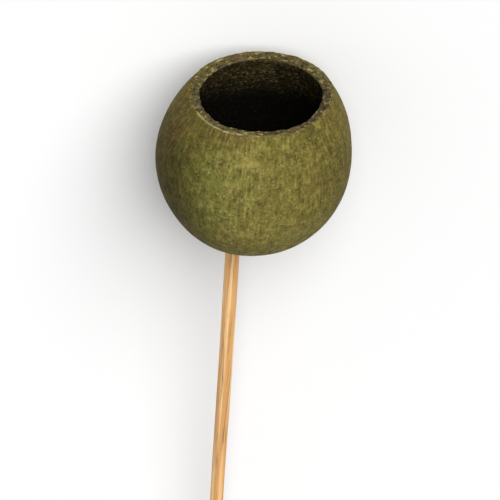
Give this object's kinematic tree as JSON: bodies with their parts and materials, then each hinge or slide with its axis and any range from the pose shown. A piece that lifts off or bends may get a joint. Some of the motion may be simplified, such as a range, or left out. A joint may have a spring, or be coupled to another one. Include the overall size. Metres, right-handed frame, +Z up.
{
  "type": "bell cup pod on a stick",
  "caption": "Dried bell cup seed pod, a hollow woody cup dyed olive green with a cut round mouth, bored and set on a split-wood stick; lies on its side.",
  "frame": {"origin": "middle of the object's box in X and Y, at the level of the surface that it lies on", "axes": "the cup's mouth faces -Y, the stick runs towards +Y, +Z is up from the surface"},
  "size_m": [0.0492, 0.3212, 0.0482],
  "materials": {
    "dyed_pod": "matt olive-green dye over a dried woody shell, mottled and powdery, nearly black-brown inside",
    "split_wood": "raw split wood, light tan with lengthwise grain"
  },
  "bodies": {
    "root": {"pod_cup": "dyed_pod", "stick": "split_wood"}
  },
  "joints": []
}
